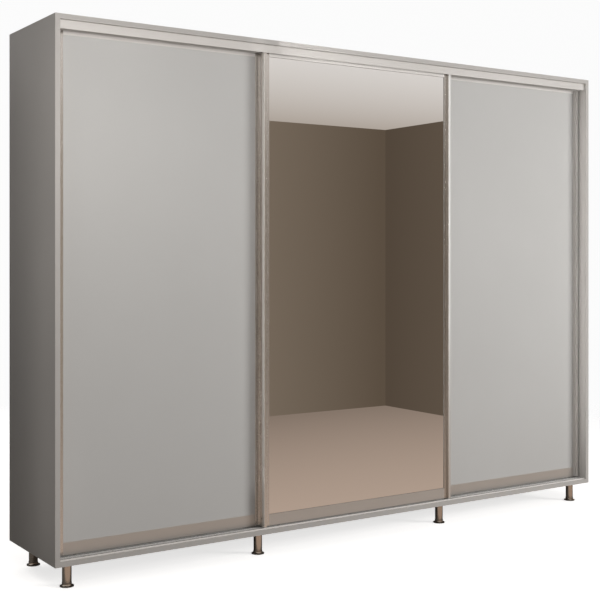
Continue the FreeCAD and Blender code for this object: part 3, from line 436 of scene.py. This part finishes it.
# The lower rails: a darker copy of the rails' aluminium, as painted shade.
shaded_lower_aluminium = metal_finish("shaded_lower_aluminium", (0.56, 0.53, 0.50), (0.535, 0.505, 0.475), along_x, 0.30,
                               metallic=0.5)
top_track_metal = metal_finish("top_track_aluminium", (0.79, 0.775, 0.76), (0.75, 0.735, 0.715), along_x,
                               0.34, metallic=0.5)
# The channel floors behind the lip are painted nearly black as shade.
bottom_track_metal = metal_finish("bottom_track_aluminium", (0.92, 0.91, 0.895), (0.88, 0.87, 0.855),
                                  along_x, 0.34, metallic=0.3,
                                  differs=(channel_painted_shade, (0.055, 0.05, 0.046), None))
leg_metal = metal_finish("leg_nickel", (0.64, 0.585, 0.53), (0.59, 0.535, 0.48), round_z, 0.24,
                         line_scale=1400.0, line_depth=0.02)
rail_metal = metal_finish("rail_chrome", (0.84, 0.84, 0.85), (0.80, 0.80, 0.82), along_x, 0.11,
                          line_scale=1200.0, rub_and_highlight=0.0)
zinc_metal = metal_finish("zinc_castings", (0.66, 0.66, 0.67), (0.55, 0.55, 0.57), not_stretched, 0.38,
                          line_scale=300.0)
screw_metal = metal_finish("plated_screws", (0.62, 0.61, 0.60), (0.50, 0.49, 0.48), not_stretched, 0.3,
                           line_scale=800.0)


# %% [markdown]
# A mirror is glass silvered behind, so its front reflects sharply and its back is grey protective paint. The
# front gets only the faintest variation, as if it had been wiped. The small soft parts come last: the
# mirror's rubber seal, the fibres of the dust seals and the nylon of the wheels and guides.

# %% Mirror, rubber, fibre and nylon
def mirror_finish():
    material, tree, shader = new_finish("silvered_mirror")
    silver = spread(tree, facing_of_surface(tree)["Y"], -0.6, -0.9)
    glass = use_group(tree, "tone_drift", {"First": (0.90, 0.90, 0.895, 1),
                                           "Second": (0.885, 0.89, 0.885, 1), "Scale": 2.0})
    paint = use_group(tree, "tone_drift", {"First": (0.22, 0.235, 0.24, 1),
                                           "Second": (0.17, 0.18, 0.19, 1), "Scale": 30.0})
    two_faced = mix_colours(tree, silver, paint["Colour"], glass["Colour"])
    tree.links.new(two_faced, shader.inputs["Base Color"])
    tree.links.new(silver, shader.inputs["Metallic"])
    wiped = spread(tree, glass["Mask"], 0.0, 1.0, 0.0, 0.012)
    matt = spread(tree, silver, 0.0, 1.0, 0.6, 0.0)
    tree.links.new(calculate(tree, "ADD", wiped, matt), shader.inputs["Roughness"])
    return material


def plain_finish(name, tone, second_tone, roughness, grain_scale, grain_depth, drift_scale=12.0, **fixed):
    """A non-metal with two tones, a fine grain and a little dust."""
    material, tree, shader = new_finish(name, **fixed)
    drift = use_group(tree, "tone_drift", {"First": (*tone, 1), "Second": (*second_tone, 1),
                                           "Scale": drift_scale})
    dust = use_group(tree, "settled_dust", {"Amount": 0.2})
    tree.links.new(mix_colours(tree, dust["Mask"], drift["Colour"], (0.5, 0.48, 0.45)),
                   shader.inputs["Base Color"])
    skin = use_group(tree, "pressed_skin", {"Grain Scale": grain_scale})
    tree.links.new(spread(tree, skin["Grey"], 0.0, 1.0, roughness - 0.06, roughness + 0.06),
                   shader.inputs["Roughness"])
    bump = add_node(tree, "Bump", {"Height": skin["Height"], "Strength": grain_depth, "Distance": 0.0003})
    tree.links.new(bump.outputs["Normal"], shader.inputs["Normal"])
    return material


mirror_silver = mirror_finish()
seal_rubber = plain_finish("seal_rubber", (0.12, 0.116, 0.112), (0.10, 0.097, 0.094), 0.6, 500.0, 0.2)
pile_fibre = plain_finish("pile_fibre", (0.30, 0.29, 0.28), (0.20, 0.195, 0.19), 0.85, 1500.0, 0.5, 160.0,
                          Sheen_Weight=0.4)
nylon = plain_finish("nylon", (0.055, 0.055, 0.054), (0.04, 0.04, 0.0395), 0.42, 900.0, 0.15, 25.0)

finish_of_slot = {
    "carcass_board": inner_boards,
    "back_sheet": back_fibreboard,
    "door_board": door_boards,
    "track_aluminium": top_track_metal,
    "frame_aluminium": level_aluminium,
    "mirror_glass": mirror_silver,
    "gasket": seal_rubber,
    "pile": pile_fibre,
    "nylon": nylon,
    "leg_nickel": leg_metal,
    "rail_chrome": rail_metal,
    "zinc": zinc_metal,
    "screw_steel": screw_metal,
}
finish_of_node = {name: upright_aluminium for name in nodes if "_stile_" in name}
finish_of_node |= {name: shaded_lower_aluminium for name in nodes if "rail_bottom" in name}
finish_of_node |= {
    "door_right_stile_right": lit_end_aluminium,
    "door_mirror_stile_right": shaded_aluminium_with_lip_highlight,
    "door_mirror_stile_left": flank_highlit_aluminium,
    "bottom_track": bottom_track_metal,
    "side_panel_left": outer_boards,
    "side_panel_right": outer_boards,
    "top_panel": outer_boards,
    "bottom_panel": outer_boards,
}
for name, node in nodes.items():
    slot_name = node.material_slots[0].material.name.split(".")[0]
    finish = finish_of_node.get(name, finish_of_slot[slot_name])
    node.material_slots[0].link = "OBJECT"
    node.material_slots[0].material = finish
print("finishes:", len(bpy.data.materials))


# %% [markdown]
# ## Softened edges
#
# No sawn board or drawn bar has a perfectly sharp edge, and the thin highlight along it is a large part of
# what makes furniture look real. The corners of the frame's meshes are split, so each gets a Weld modifier
# first and then a small Bevel, which rounds inwards and keeps the outer size.

# %% Bevel the boards and the bars
BOARD_EDGE = 0.0009
BAR_EDGE = 0.0004


def soften(name, width):
    weld = nodes[name].modifiers.new("weld", "WELD")
    weld.merge_threshold = 0.00002
    bevel = nodes[name].modifiers.new("soft_edge", "BEVEL")
    bevel.width = width
    bevel.segments = 2
    bevel.limit_method = "ANGLE"
    bevel.angle_limit = math.radians(50)
    bevel.use_clamp_overlap = True


board_kinds = ("side", "top", "bottom", "partition", "hat")
board_nodes = [name for name in nodes if name.split("_")[0] in board_kinds and "track" not in name]
board_nodes += ["middle_shelves", "door_left_panel", "door_right_panel"]
bar_nodes = [name for name in nodes if "_rail_top" in name or "_rail_bottom" in name]
for name in board_nodes:
    soften(name, BOARD_EDGE)
for name in bar_nodes:
    soften(name, BAR_EDGE)
print("softened:", len(board_nodes), "boards and", len(bar_nodes), "bars")


# %% [markdown]
# ## Small pieces that the frame only stands for
#
# Some sub-parts came in as plain bars or sheets because that is all their motion needs. Three are worth a
# closer look: the pile strips, which are brushes, the back sheets, which are nailed on and joined by flat
# strips, and the caps that close the screw holes in the uprights. Each is built from corners and faces, so
# that its detail is real, and each rides on the body it is fixed to.

# %% Helpers: blocks, turned forms and pieces
def add_block(recipe, low, high):
    """Add the eight corners and six faces between two corners."""
    corners = [recipe.verts.new((x, y, z)) for z in (low[2], high[2]) for y in (low[1], high[1])
               for x in (low[0], high[0])]
    for face in ((0, 2, 3, 1), (4, 5, 7, 6), (0, 1, 5, 4), (2, 6, 7, 3), (0, 4, 6, 2), (1, 3, 7, 5)):
        recipe.faces.new([corners[i] for i in face])


def add_turned(recipe, centre, axis, profile, steps):
    """Turn a profile of (radius, height), which starts on the axis, about an axis through a point."""
    side = axis.orthogonal().normalized()
    other = axis.cross(side)
    turns = [2 * math.pi * i / steps for i in range(steps)]
    inner = [recipe.verts.new(centre + axis * profile[0][1])]
    for radius, height in profile[1:]:
        middle = centre + axis * height
        outer = [recipe.verts.new(middle + (side * math.cos(t) + other * math.sin(t)) * radius)
                 for t in turns]
        for i in range(steps):
            j = (i + 1) % steps
            rest = [inner[0]] if len(inner) == 1 else [inner[j], inner[i]]
            recipe.faces.new([outer[i], outer[j]] + rest)
        inner = outer


def finish_piece(name, recipe, material, body, replaced=()):
    """Turn a recipe into an object with its finish, riding on a body."""
    mesh = bpy.data.meshes.new(name)
    recipe.to_mesh(mesh)
    recipe.free()
    mesh.materials.append(material)
    piece = bpy.data.objects.new(name, mesh)
    bpy.context.scene.collection.objects.link(piece)
    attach(piece, body)
    if replaced:
        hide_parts(*replaced)
    print(name, "faces:", len(mesh.polygons))
    return piece


# %% [markdown]
# ### Pile strips
#
# A dust seal is a woven tape with rows of short fibres. A solid bar would catch the light like plastic, and a
# picture of fibres would go flat from the side, so the strip is a thin tape with thousands of narrow blades
# that lean a little, each its own way. They all stay within the height of the bar they replace.

# %% Weave the pile strips
fibre_draw = random.Random(7)
TAPE = 0.0005
BLADE = 0.00035
BLADE_PITCH = 0.0022
BLADE_ROWS = 4


def add_pile(recipe, low, high, axis, sign):
    """A tape on the root side of a box and blades that stand on it towards the other side."""
    root = low[axis] if sign > 0 else high[axis]
    height = high[axis] - low[axis]
    tape_low, tape_high = Vector(low), Vector(high)
    if sign > 0:
        tape_high[axis] = root + TAPE
    else:
        tape_low[axis] = root - TAPE
    add_block(recipe, tape_low, tape_high)
    across = 1 - axis
    width = high[across] - low[across]
    count = int((high[2] - low[2]) / BLADE_PITCH)
    for row in range(BLADE_ROWS):
        for step in range(count):
            middle = Vector((0.0, 0.0, 0.0))
            middle[axis] = root + sign * TAPE
            middle[across] = low[across] + width * (row + fibre_draw.uniform(0.25, 0.75)) / BLADE_ROWS
            middle[2] = low[2] + (high[2] - low[2]) * (step + fibre_draw.uniform(0.2, 0.8)) / count
            tip = middle.copy()
            tip[axis] = root + sign * height * fibre_draw.uniform(0.82, 0.99)
            tip[across] += fibre_draw.uniform(-0.06, 0.06) * width
            tip[2] += fibre_draw.uniform(-0.0005, 0.0005)
            half = Vector((0.0, 0.0, 0.0))
            half[across] = BLADE * fibre_draw.uniform(-1.0, 1.0)
            half[2] = BLADE
            recipe.faces.new([recipe.verts.new(v) for v in (middle - half, middle + half,
                                                            tip + half * 0.3, tip - half * 0.3)])


for door in ("door_left", "door_mirror", "door_right"):
    low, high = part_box(f"{door}_pile_strips")
    recipe = bmesh.new()
    if door == "door_mirror":
        strip_width = 0.007
        add_pile(recipe, low, (low.x + strip_width, high.y, high.z), 1, 1)
        add_pile(recipe, (high.x - strip_width, low.y, low.z), high, 1, 1)
    else:
        strip_height = 0.0016
        add_pile(recipe, low, (low.x + strip_height, high.y, high.z), 0, -1)
        add_pile(recipe, (high.x - strip_height, low.y, low.z), high, 0, 1)
    finish_piece(f"{door}_pile_brushes", recipe, pile_fibre, door, [f"{door}_pile_strips"])


# %% [markdown]
# ### The back
#
# The back of a wardrobe is three thin sheets, nailed to the edges of the boards every hand's width. A flat
# plastic strip covers each seam. The sheets are made a hair thinner than the frame's, so that the strips and
# the nail heads stand proud of them and the whole stays as deep as it was.

# %% Nail on the back sheets
STRIP_HALF_WIDTH = 0.008
PROUD = 0.0004
NAIL_HEAD = 0.0022
NAIL_PITCH = 0.13
SEAM_NAIL_PITCH = 0.2
sheet_boxes = {side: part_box(f"back_panel_{side}") for side in ("left", "middle", "right")}
for side, (low, high) in sheet_boxes.items():
    recipe = bmesh.new()
    add_block(recipe, low, (high.x, high.y - PROUD, high.z))
    finish_piece(f"back_sheet_{side}", recipe, back_fibreboard, "cabinet",
                 [f"back_panel_{side}"])

outer_y = sheet_boxes["middle"][1].y
bottom_z, top_z = sheet_boxes["middle"][0].z, sheet_boxes["middle"][1].z
seams = [(sheet_boxes["left"][1].x + sheet_boxes["middle"][0].x) / 2,
         (sheet_boxes["middle"][1].x + sheet_boxes["right"][0].x) / 2]
recipe = bmesh.new()
for seam in seams:
    add_block(recipe, (seam - STRIP_HALF_WIDTH, outer_y - PROUD, bottom_z),
              (seam + STRIP_HALF_WIDTH, outer_y, top_z))
finish_piece("back_joint_strips", recipe, nylon, "cabinet")


def spaced(start, end, pitch):
    """Evenly spaced places from start to end, about a pitch apart."""
    count = max(1, round((end - start) / pitch))
    return [start + (end - start) * i / count for i in range(count + 1)]


edge_in = 0.009
nail_places = []
first_x, last_x = sheet_boxes["left"][0].x + edge_in, sheet_boxes["right"][1].x - edge_in
first_z, last_z = bottom_z + edge_in, top_z - edge_in
for x in spaced(first_x, last_x, NAIL_PITCH):
    nail_places += [(x, first_z), (x, last_z)]
for x in (first_x, last_x):
    nail_places += [(x, z) for z in spaced(first_z, last_z, NAIL_PITCH)[1:-1]]
for seam in seams:
    clear = STRIP_HALF_WIDTH + NAIL_HEAD
    nail_places += [(seam + clear * way, z) for z in spaced(first_z, last_z, SEAM_NAIL_PITCH)[1:-1]
                    for way in (-1, 1)]
recipe = bmesh.new()
head_profile = [(0.0, 0.0), (NAIL_HEAD * 0.6, -PROUD * 0.1), (NAIL_HEAD, -PROUD)]
nail_draw = random.Random(3)
wander = 0.0015
for x, z in nail_places:
    place = Vector((x + nail_draw.uniform(-wander, wander), outer_y,
                    z + nail_draw.uniform(-wander, wander)))
    add_turned(recipe, place, Vector((0.0, 1.0, 0.0)), head_profile, 12)
finish_piece("back_nails", recipe, screw_metal, "cabinet")


# %% [markdown]
# ### Screw caps
#
# The frame of each door is screwed together through holes in the outer sides of its uprights, and a small
# domed cap closes each hole. A cap is turned from one short profile.

# %% Press in the caps
CAP_RADIUS = 0.0046
SCREW_HEAD_RADIUS = 0.0045
cap_profile = [(0.0, 0.0003), (CAP_RADIUS * 0.5, 0.00025), (CAP_RADIUS * 0.9, 0.0001),
               (CAP_RADIUS, -0.0002), (CAP_RADIUS, -0.0014)]
for door in ("door_left", "door_mirror", "door_right"):
    screw_low, screw_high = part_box(f"{door}_frame_screws")
    depth = (screw_low.y + screw_high.y) / 2
    recipe = bmesh.new()
    for height in (screw_low.z + SCREW_HEAD_RADIUS, screw_high.z - SCREW_HEAD_RADIUS):
        for side, way, corner in (("left", -1.0, 0), ("right", 1.0, 1)):
            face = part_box(f"{door}_stile_{side}")[corner].x
            add_turned(recipe, Vector((face, depth, height)), Vector((way, 0.0, 0.0)), cap_profile, 28)
    finish_piece(f"{door}_screw_caps", recipe, nylon, door)


# %% [markdown]
# ## The studio
#
# A plain pale floor fades into a plain pale backdrop. The mirror has to reflect something, and a bare studio
# would leave it blank, so a few flat cards stand where a room's walls, ceiling and floor would be. Only
# reflections see them: they throw no shadow and no light on the boards.

# %% Floor and backdrop
def stage_mesh(name, corners, material):
    """One flat four-cornered card."""
    mesh = bpy.data.meshes.new(name)
    mesh.from_pydata(corners, [], [(0, 1, 2, 3)])
    card = bpy.data.objects.new(name, mesh)
    bpy.context.scene.collection.objects.link(card)
    card.data.materials.append(material)
    card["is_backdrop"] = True
    return card


def floor_finish():
    """Pale and matt, and clear towards its rim, so that it fades into the backdrop."""
    material, tree, shader = new_finish("studio_floor", Roughness=0.75)
    tone = use_group(tree, "tone_drift", {"First": (0.74, 0.737, 0.733, 1),
                                          "Second": (0.72, 0.717, 0.713, 1), "Scale": 0.6})
    seen = add_node(tree, "LightPath").outputs["Is Camera Ray"]
    pale_where_seen = mix_colours(tree, seen, (0.16, 0.15, 0.14), tone["Colour"])
    tree.links.new(pale_where_seen, shader.inputs["Base Color"])
    shader.inputs["Emission Color"].default_value = (1, 0.995, 0.99, 1)
    tree.links.new(calculate(tree, "MULTIPLY", seen, 0.72), shader.inputs["Emission Strength"])
    where = add_node(tree, "TexCoord").outputs["Object"]
    radius = add_node(tree, "VectorMath", {0: where}, operation="LENGTH").outputs["Value"]
    tree.links.new(spread(tree, radius, 2.6, 5.5, 1.0, 0.0), shader.inputs["Alpha"])
    return material


floor_half = 7.0
floor_corners = [(-floor_half, -floor_half, 0), (floor_half, -floor_half, 0),
                 (floor_half, floor_half, 0), (-floor_half, floor_half, 0)]
stage_mesh("studio_floor", floor_corners, floor_finish())

world = bpy.data.worlds.new("studio")
bpy.context.scene.world = world
world.use_nodes = True
sky = world.node_tree
backdrop = sky.nodes["Background"]
ambient = add_node(sky, "Background", {"Color": (1.0, 0.985, 0.97, 1), "Strength": 0.05})
seen = add_node(sky, "LightPath").outputs["Is Camera Ray"]
choose = add_node(sky, "MixShader", {0: seen, 1: ambient.outputs[0], 2: backdrop.outputs[0]})
backdrop.inputs["Color"].default_value = (0.97, 0.97, 0.97, 1)
backdrop.inputs["Strength"].default_value = 1.0
sky.links.new(choose.outputs[0], sky.nodes["World Output"].inputs["Surface"])


# %% [markdown]
# The cards glow with their own colour instead of being lit, so that what the mirror shows doesn't depend on
# the lamps. Each one runs from one tone to another, as a real wall does between a bright and a dark end.

# %% Cards for the mirror
def card_finish(name, start, end, axis, low, high):
    """A glow that runs from one tone to another along an axis."""
    material = bpy.data.materials.new(name)
    material.use_nodes = True
    tree = material.node_tree
    tree.nodes.remove(tree.nodes["Principled BSDF"])
    along = spread(tree, place_on_piece(tree)[axis], low, high)
    glow = add_node(tree, "Emission", {"Color": mix_colours(tree, along, start, end), "Strength": 1.0})
    tree.links.new(glow.outputs[0], tree.nodes["Material Output"].inputs["Surface"])
    return material


def reflection_card(name, corners, material):
    """A card that only reflections see."""
    card = stage_mesh(name, corners, material)
    card.visible_camera = False
    card.visible_diffuse = False
    card.visible_shadow = False
    card.visible_transmission = False


def wall_card(name, first, last, *glow):
    """An upright card from one place on the floor plan to another, as high as the room."""
    corners = [(*first, 0), (*last, 0), (*last, room_top), (*first, room_top)]
    reflection_card(name, corners, card_finish(name, *glow))


def level_card(name, front, back, height, *glow):
    """A level card as wide as the room."""
    corners = [(room_left, front, height), (room_right, front, height),
               (room_right, back, height), (room_left, back, height)]
    reflection_card(name, corners, card_finish(name, *glow))


room_left, room_right, room_front, room_back, room_top = -7.0, 3.16, -4.09, 3.0, 2.58
above_studio_floor, behind_doors = 0.0006, -0.3
wall_card("card_wall_front", (room_left, room_front), (room_right, room_front),
          (0.27, 0.215, 0.165), (0.115, 0.085, 0.06), "X", 0.6, 3.1)
wall_card("card_wall_right", (room_right, room_front), (room_right, room_back),
          (0.095, 0.07, 0.05), (0.15, 0.115, 0.085), "Y", -4.0, -2.2)
wall_card("card_wall_left", (room_left, room_front), (room_left, room_back),
          (0.27, 0.215, 0.165), (0.2, 0.16, 0.12), "Z", 0.0, 2.5)
level_card("card_ceiling", room_front, room_back, room_top,
           (0.48, 0.42, 0.37), (0.78, 0.74, 0.71), "Y", -4.0, -1.2)
level_card("card_floor", room_front, behind_doors, above_studio_floor,
           (0.26, 0.2, 0.16), (0.47, 0.36, 0.29), "Y", -4.0, -1.0)


# %% [markdown]
# The main light is large, soft and to the right, as daylight from a wide window would be, so the doors are
# brightest at the top and the left side panel falls back towards the wall. Weaker lamps fill the front. Small
# ones graze the left side panel, and two narrow strips reach between the doors, where a room's walls would
# throw light back. One lamp stands behind, for the back. No lamp shows in the mirror or the metals.

# %% Lamps
ALL_ROUND = math.pi
daylight = (1.0, 0.99, 0.975)
warm_white = (1.0, 0.985, 0.965)
warmer_white = (1.0, 0.965, 0.93)


def soft_lamp(name, place, aim, width, height, power, tint, spread_angle=ALL_ROUND):
    """A rectangular lamp at a place, turned to an aim; sizes in metres, power in watts."""
    data = bpy.data.lights.new(name, "AREA")
    data.shape = "RECTANGLE"
    data.size = width
    data.size_y = height
    data.energy = power
    data.color = tint
    data.spread = spread_angle
    lamp = bpy.data.objects.new(name, data)
    bpy.context.scene.collection.objects.link(lamp)
    lamp.location = place
    lamp.rotation_euler = (Vector(aim) - Vector(place)).to_track_quat("-Z", "Y").to_euler()
    lamp.visible_camera = False
    lamp.visible_glossy = False


soft_lamp("window", (6.0, -5.4, 2.4), (0.8, -0.3, 1.4), 2.6, 1.6, 418.0, daylight)
soft_lamp("front_left", (-0.9, -2.5, 2.2), (-0.9, -0.3, 1.5), 1.0, 0.5, 11.6, warm_white)
soft_lamp("front_right", (1.3, -2.6, 1.7), (0.9, -0.3, 1.5), 1.0, 1.0, 16.0, warm_white)
soft_lamp("left_corner", (-1.95, -1.36, 2.28), (-1.6, -0.1, 1.6), 0.7, 0.7, 5.8, warmer_white)
soft_lamp("left_grazing", (-2.4, -0.54, 1.9), (-1.6, -0.1, 1.6), 0.6, 0.6, 2.6, warmer_white)
soft_lamp("left_low", (-2.05, -0.95, 0.45), (-1.6, -0.2, 0.4), 0.4, 0.7, 0.7, warmer_white)
soft_lamp("left_edge", (-1.9, -0.21, 0.8), (-1.6, -0.21, 0.8), 0.1, 1.4, 0.33, warmer_white)
soft_lamp("along_the_doors", (-0.5, -0.315, 1.45), (1.6, -0.27, 1.45), 0.08, 2.3, 3.3, warm_white, 0.7)
soft_lamp("beside_the_mirror", (-0.70, -0.40, 1.4), (-0.583, -0.235, 1.4), 0.04, 2.2, 0.08, warm_white, 0.6)
soft_lamp("rear_fill", (-1.0, 6.0, 4.0), (0.0, 0.3, 1.2), 4.0, 2.0, 260.0, warm_white)


# %% [markdown]
# The camera stands at eye height in front of the left end and looks level along the doors. Upright edges stay
# upright because it isn't tilted, and a small downward shift of the view brings the legs in.

# %% Camera and colour
camera_data = bpy.data.cameras.new("camera")
camera_data.lens = 67.32
camera_data.sensor_width = 36.0
camera_data.shift_y = -0.0708
camera = bpy.data.objects.new("camera", camera_data)
camera.location = (-3.3329, -4.7012, 1.3863)
camera.rotation_euler = (math.radians(90), 0, math.radians(-33.71))
bpy.context.scene.collection.objects.link(camera)
bpy.context.scene.camera = camera
bpy.context.scene.view_settings.view_transform = "Standard"
print("lamps:", len(bpy.data.lights), "camera:", camera_data.lens, "mm")


# %% [markdown]
# ## The finished size
#
# The box around everything that renders, apart from the studio, is measured and printed. The finished
# model has to stay inside the frame's own box.

# %% Measure the size
low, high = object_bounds()
print("visual size:", [round(v, 4) for v in high - low])
